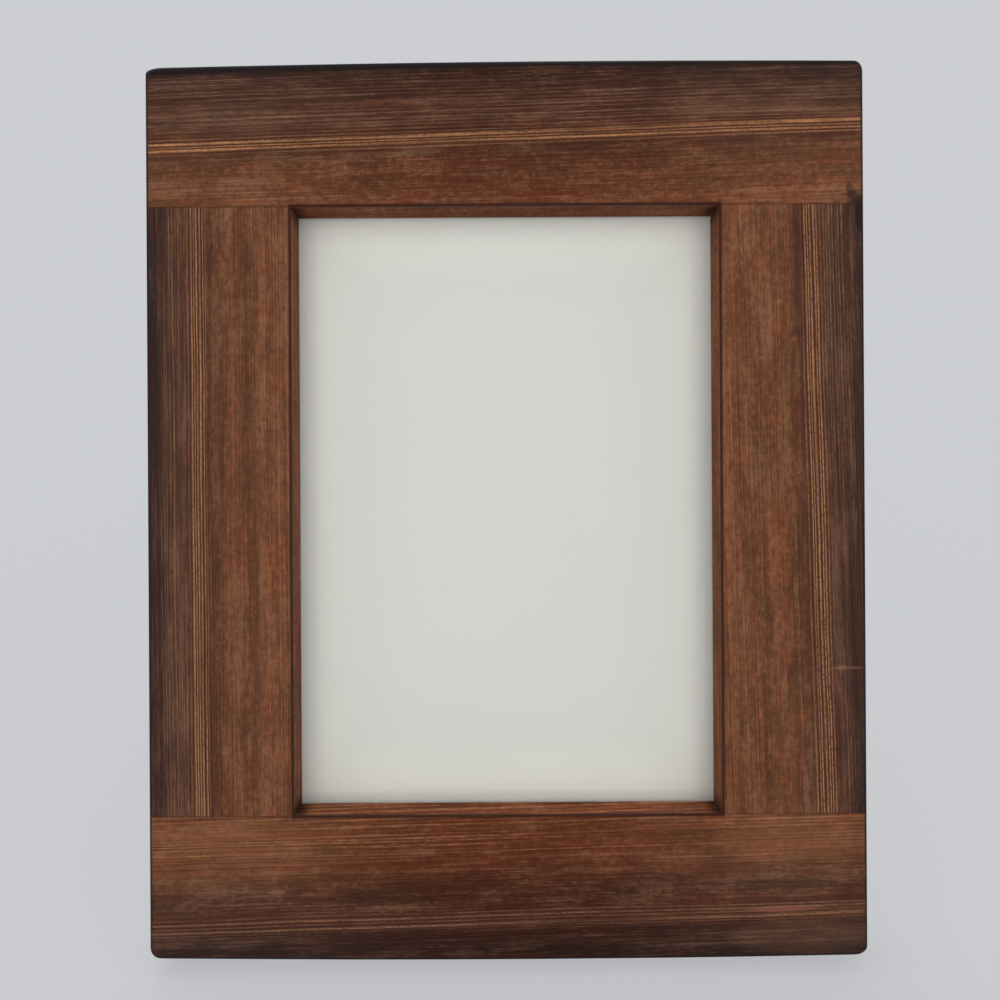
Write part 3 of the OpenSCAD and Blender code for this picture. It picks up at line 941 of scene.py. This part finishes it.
def plain_metal(name, tone, roughness):
    """Rolled plate or wire, a little mottled and brushed."""
    s = new_shader(name)
    x, y, z = s.upright()
    mottle = s.noise(x / 3, y / 3, z / 3, 3.0, 0.6)
    brush = s.noise(x * 0.6, y, z * 5, 2.0)
    worn = s.mix(s.step(mottle, 0.4, 0.8), tone, tuple(v * 0.8 for v in tone))
    relief = brush * 0.5 + mottle * 0.5
    return s.finish(
        worn, roughness=roughness + mottle.around(0.25) + brush.around(0.1),
        normal=s.bump(relief, 0.02 * MM, 0.5), metallic=1.0,
    )


def pressed_board(name, tone):
    """Brown hardboard: fine pressed fibres, long strands and darker and paler specks."""
    s = new_shader(name)
    x, y, z = s.upright()
    fibre = s.noise(x * 1.4, y / 4, z * 1.4, 6.0, 0.7)
    strand = s.noise(x / 3.5 + fibre * 1.5, y / 9, z * 0.9 + fibre * 1.5, 4.0, 0.7)
    cloud = s.noise(x / 22, y / 30, z / 22, 3.0)
    speck = s.step(s.noise(x * 0.9, y / 4 + 9, z * 0.9, 3.0, 0.7), 0.62, 0.72)
    pale = s.step(s.noise(x * 0.7, y / 4 + 23, z * 0.7, 3.0, 0.7), 0.62, 0.74)
    shade = 1 + fibre.around(0.6) + strand.around(0.5) + cloud.around(0.5)
    return s.finish(
        s.gain(tone, shade - speck * 0.3 + pale * 0.25), roughness=0.62 + fibre.around(0.2),
        normal=s.bump(fibre, 0.06 * MM, 0.7), specular=0.35,
    )


def blank_paper(name, tone):
    """Matt insert with the faintest tooth, made a little paler round its edges and under the top
    rail by painted light.
    """
    sizes = settings("sizes")
    s = new_shader(name)
    x, y, z = s.upright()
    tooth = s.noise(x * 3, y, z * 3, 4.0, 0.6)
    cloud = s.noise(x / 30, y, z / 30, 2.0)
    across, along = sight_depth(x, z)
    # Painted light: paler a little in from the opening's edges, and just under the top rail.
    pale = (1 - s.step(across.at_most(along), 5, 22)) * s.step(across, 2.5, 6.5)
    below_top = (sizes.height + sizes.open_height) / MM / 2 - z
    painted_top_light = 1 - s.step(below_top, 0.5, 4.5)
    shade = 1 + tooth.around(0.03) + cloud.around(0.03) + pale * 0.09 + painted_top_light * 0.14
    return s.finish(
        s.gain(tone, shade), roughness=0.8, normal=s.bump(tooth, 0.01 * MM, 0.5), specular=0.2,
    )


def soft_pad(name, tone):
    """Matt dark pad with a fine grain."""
    s = new_shader(name)
    x, y, z = s.upright()
    grain = s.noise(x * 4, y * 4, z * 4, 4.0, 0.7)
    return s.finish(
        s.gain(tone, 0.8 + grain * 0.5), roughness=0.85,
        normal=s.bump(grain, 0.05 * MM, 0.7), specular=0.25,
    )


def end_grain(name, tone):
    """Flush end of a turned pin: rings and pores seen from their ends."""
    s = new_shader(name)
    x, y, z = s.upright()
    ring = s.noise(x / 0.9 + z * 0.4, y / 20, z / 6, 2.0)
    pore = s.noise(x * 4, y / 8, z * 4, 3.0, 0.7)
    shade = 1 + ring.around(0.6) + pore.around(0.5)
    return s.finish(s.gain(tone, shade), roughness=0.6, normal=s.bump(pore, 0.04 * MM, 0.6))


def clear_glass(name):
    """Thin clear glass: light passes straight through, and its outer faces reflect a little."""
    s = new_shader(name)
    clear = s.node("ShaderNodeBsdfTransparent", inputs={"Color": (0.985, 0.99, 0.985)})
    shine = s.node("ShaderNodeBsdfGlossy", inputs={"Color": (1.0, 1.0, 1.0), "Roughness": 0.02})
    facing = s.node("ShaderNodeFresnel", inputs={"IOR": 1.5})
    inner_face = s.node("ShaderNodeNewGeometry", out="Backfacing")
    return s.blend(facing * (1 - inner_face), clear, shine)


# Stage

FLOOR_RADIUS = 4.0
FLOOR_SIDES = 96
FLOOR_SHARE = 0.66  # How much of the floor's look is its plain colour, and not its lit paint
SKY_STRENGTH = 0.5
SENSOR_WIDTH = 36.0  # Millimetres, as the camera counts them
NEAREST_SEEN = 0.01


class Lamp(NamedTuple):
    """Distant soft lamp."""

    name: str
    towards: tuple  # From the frame to the lamp
    strength: float
    spread: float  # Degrees that it is wide
    in_gloss: bool  # Whether shiny surfaces show it


LAMPS = (
    Lamp("front_lamp", (0.0, -1.0, 0.16), 1.45, 62, False),
    Lamp("left_lamp", (-0.72, -0.6, 0.25), 0.3, 38, False),
    Lamp("right_lamp", (0.72, -0.6, 0.25), 0.28, 38, False),
    Lamp("back_lamp", (-0.35, 0.6, 1.0), 0.6, 50, True),
)


def add_floor():
    """Wide pale floor that keeps the frame's shadow."""
    look = settings("stage")
    select()
    bpy.ops.mesh.primitive_circle_add(
        vertices=FLOOR_SIDES, radius=FLOOR_RADIUS, fill_type="NGON", location=(0, 0, 0),
    )
    floor = bpy.context.object
    floor.name = "studio_floor"
    s = new_shader("studio_floor_paint")
    lit = s.node("ShaderNodeBsdfDiffuse", inputs={"Color": look.paint})
    plain = s.node("ShaderNodeEmission", inputs={"Color": look.floor})
    camera_ray = s.node("ShaderNodeLightPath", out="Is Camera Ray")
    seen = camera_ray.at_least(camera_ray.output("Is Glossy Ray"))
    floor.data.materials.append(s.blend(seen * FLOOR_SHARE, lit, plain))


def add_sky():
    """Soft light from all round; the camera, gloss and glass see the pale background instead."""
    look = settings("stage")
    s = Shader(bpy.data.worlds.new("studio_sky"))
    camera_ray = s.node("ShaderNodeLightPath", out="Is Camera Ray")
    seen = camera_ray.at_least(camera_ray.output("Is Glossy Ray"))
    seen = seen.at_least(camera_ray.output("Is Transmission Ray"))
    sky = s.node("ShaderNodeBackground", inputs={"Color": look.sky, "Strength": SKY_STRENGTH})
    plain = s.node("ShaderNodeBackground", inputs={"Color": look.floor})
    bpy.context.scene.world = s.blend(seen, sky, plain, "ShaderNodeOutputWorld")


def add_lamp(lamp):
    light = bpy.data.lights.new(lamp.name, "SUN")
    light.energy = lamp.strength
    light.angle = math.radians(lamp.spread)
    light.color = settings("stage").lamp
    holder = bpy.data.objects.new(lamp.name, light)
    holder.rotation_mode = "QUATERNION"
    holder.rotation_quaternion = Vector(lamp.towards).to_track_quat("Z", "Y")
    holder.visible_glossy = lamp.in_gloss
    bpy.context.collection.objects.link(holder)


def add_camera():
    """Looks square onto the leaning face, a little left of its middle and above it."""
    sizes, look = settings("sizes"), settings("stage")
    data = bpy.data.cameras.new("photo_camera")
    data.sensor_width = SENSOR_WIDTH
    data.lens = SENSOR_WIDTH / 2 / math.tan(look.field / 2)
    data.clip_start = NEAREST_SEEN
    camera = bpy.data.objects.new("photo_camera", data)
    bpy.context.collection.objects.link(camera)
    spot = Vector((-look.left, -look.distance, sizes.height / 2 + look.above))
    facing = Matrix.Rotation(math.pi / 2, 4, "X") @ Matrix.Rotation(-look.roll, 4, "Z")
    camera.matrix_world = stance() @ Matrix.Translation(spot) @ facing
    bpy.context.scene.camera = camera


class PFRAME_OT_stage(bpy.types.Operator):
    """Lay the floor and set the lights and the camera"""

    bl_idname = "picture_frame.stage"
    bl_label = "Stage"

    def execute(self, context):
        context.scene.view_settings.view_transform = "Standard"
        add_floor()
        add_sky()
        for lamp in LAMPS:
            add_lamp(lamp)
        add_camera()
        return {"FINISHED"}


# Pieces

# How wide the eased edges of each kind of piece are
BOARD_EASE = 0.12 * MM
GLASS_SEAM = 0.3 * MM
BACK_EASE = 0.3 * MM
PIN_EASE = 0.15 * MM
STRUT_EASE = 0.45 * MM
LEAF_EASE = 0.12 * MM
RIVET_EASE = 0.08 * MM
ROD_EASE = 0.1 * MM
BUTTON_EASE = 0.22 * MM
HANGER_EASE = 0.12 * MM
BUMPER_EASE = 0.8 * MM

GLASS_GAP = 0.15 * MM  # Between the glass and the insert, so that their faces don't meet
BUTTON_BORE = 1.55 * MM  # Radius of a turn button's screw hole
BRASS_ROUGHNESS = 0.34
PLATE_ROUGHNESS = 0.38
STEEL_ROUGHNESS = 0.3


class PFRAME_OT_boards(bpy.types.Operator):
    """Give the four boards their oiled wood"""

    bl_idname = "picture_frame.boards"
    bl_label = "Boards"

    def execute(self, context):
        for node, board in BOARDS.items():
            wood = oiled_wood(node + "_wood", board)
            dress(node + "_eased", node, BOARD_EASE, wood)
        return {"FINISHED"}


class PFRAME_OT_filling(bpy.types.Operator):
    """Seam the glass and lay the insert, the filler and the back behind it"""

    bl_idname = "picture_frame.filling"
    bl_label = "Glass and backing"

    def execute(self, context):
        look = settings("fittings")
        place = stance()
        glass = clear_glass("picture_glass")
        fit(seamed_glass(place), "glass_pane", glass, place)
        paint("picture_insert", blank_paper("insert_paper", look.insert))
        paint("filler_board", pressed_board("filler_card", look.card))
        hardboard = pressed_board("back_hardboard", look.back)
        dress("hardboard_back", "back_board", BACK_EASE, hardboard)
        ends = end_grain("pin_end_grain", look.pin_end)
        dress("pin_ends", "lap_pins", PIN_EASE, ends)
        return {"FINISHED"}


def seamed_glass(place):
    """Pane with its sharp edges taken off."""
    lo, hi = local_box("glass_pane", place)
    pane = block("seamed_glass", lo, hi - Vector((0, GLASS_GAP, 0)))
    ease(pane, GLASS_SEAM)
    return pane


class PFRAME_OT_stand(bpy.types.Operator):
    """Shape the easel strut and its hinge"""

    bl_idname = "picture_frame.stand"
    bl_label = "Stand"

    def execute(self, context):
        look = settings("fittings")
        hardboard = pressed_board("strut_hardboard", look.strut)
        dress("shaped_strut", "easel_strut", STRUT_EASE, hardboard, segments=3)
        brass = plain_metal("hinge_brass", look.brass, BRASS_ROUGHNESS)
        for node in ("board_hinge_leaf", "strut_hinge_leaf"):
            dress(node + "_rolled", node, LEAF_EASE, brass)
        for node in ("board_leaf_rivets", "strut_leaf_rivets"):
            dress(node + "_domed", node, RIVET_EASE, brass)
        steel = plain_metal("pin_steel", look.steel, STEEL_ROUGHNESS)
        dress("upset_pin", "hinge_pin", ROD_EASE, steel)
        return {"FINISHED"}


class PFRAME_OT_buttons(bpy.types.Operator):
    """Stamp the four turn buttons and drive their screws"""

    bl_idname = "picture_frame.buttons"
    bl_label = "Turn buttons"

    def execute(self, context):
        brass = plain_metal("button_brass", settings("fittings").brass, BRASS_ROUGHNESS)
        place = stance()
        for side in ("left", "right"):
            for level in ("upper", "lower"):
                node = f"turn_button_{level}_{side}"
                button = stamped_button(node + "_stamped", node, place)
                fit(button, node, brass, place)
        dress("slotted_screws", "turn_button_screws", ROD_EASE, brass)
        return {"FINISHED"}


def stamped_button(name, node, place):
    """Lozenge with round ends, a rolled rim, a shallow pressed panel and its screw hole."""
    lo, hi = local_box(node, place)
    radius = (hi.z - lo.z) / 2
    middle = (lo.z + hi.z) / 2
    ends = (lo.x + radius, hi.x - radius)
    screw_x, tip_x = sorted(ends, key=abs, reverse=True)
    tipwards = 1 if tip_x > screw_x else -1

    piece = disc(name, radius, Vector((screw_x, lo.y, middle)), hi.y - lo.y)
    mesh = edit(piece)
    pick(piece, mesh, "verts", lambda v: (v.co.x - screw_x) * tipwards > -SAME_PLACE)
    bpy.ops.transform.translate(value=(tip_x - screw_x, 0, 0))
    close()
    sink_top(piece, rim=1.5 * MM, slope=0.5 * MM, depth=0.3 * MM)
    cut(piece, disc("button_hole", BUTTON_BORE, Vector((screw_x, lo.y - MM, middle)), 4 * MM))
    ease(piece, BUTTON_EASE, 3, sharp=30)
    return piece


class PFRAME_OT_hangers(bpy.types.Operator):
    """Press the sawtooth hangers, nail them on and set the bumpers"""

    bl_idname = "picture_frame.hangers"
    bl_label = "Hangers and bumpers"

    def execute(self, context):
        look = settings("fittings")
        plate = plain_metal("hanger_plate", look.plate, PLATE_ROUGHNESS)
        for node in ("portrait_hanger", "landscape_hanger"):
            dress(node + "_pressed", node, HANGER_EASE, plate)
        steel = plain_metal("nail_steel", look.steel, STEEL_ROUGHNESS)
        dress("nail_heads", "hanger_nails", HANGER_EASE, steel)
        rubber = soft_pad("bumper_pad", look.rubber)
        place = stance()
        fit(rounded_bumpers(place), "wall_bumpers", rubber, place)
        return {"FINISHED"}


def rounded_bumpers(place):
    """Two soft pads with a rounded shoulder and a slightly hollow top."""
    lo, hi = local_box("wall_bumpers", place)
    radius = (hi.z - lo.z) / 2
    pads = []
    for side in (-1, 1):
        base = Vector((side * (hi.x - radius), lo.y, lo.z + radius))
        pad = disc("bumper", radius, base, hi.y - lo.y, sides=64)
        sink_top(pad, rim=1.9 * MM, slope=0.8 * MM, depth=0.15 * MM)
        ease(pad, BUMPER_EASE, 6, sharp=60)
        pads.append(pad)
    return join("rounded_bumpers", pads)


# Add-on

STEPS = (
    PFRAME_OT_stage, PFRAME_OT_boards, PFRAME_OT_filling,
    PFRAME_OT_stand, PFRAME_OT_buttons, PFRAME_OT_hangers,
)


class PFRAME_PT_panel(bpy.types.Panel):
    """Lists the steps in the order in which they run"""

    bl_idname = "PFRAME_PT_panel"
    bl_label = "Picture Frame"
    bl_space_type = "VIEW_3D"
    bl_region_type = "UI"
    bl_category = "Picture Frame"

    def draw(self, context):
        for step in STEPS:
            self.layout.operator(step.bl_idname)


CLASSES = (*GROUPS.values(), *STEPS, PFRAME_PT_panel)


def register():
    for item in CLASSES:
        bpy.utils.register_class(item)
    for name, group in GROUPS.items():
        setattr(bpy.types.Scene, name, PointerProperty(type=group))


def unregister():
    for name in GROUPS:
        delattr(bpy.types.Scene, name)
    for item in reversed(CLASSES):
        bpy.utils.unregister_class(item)


def main():
    register()
    bpy.ops.picture_frame.stage()
    bpy.ops.picture_frame.boards()
    bpy.ops.picture_frame.filling()
    bpy.ops.picture_frame.stand()
    bpy.ops.picture_frame.buttons()
    bpy.ops.picture_frame.hangers()


if __name__ == "__main__":
    main()
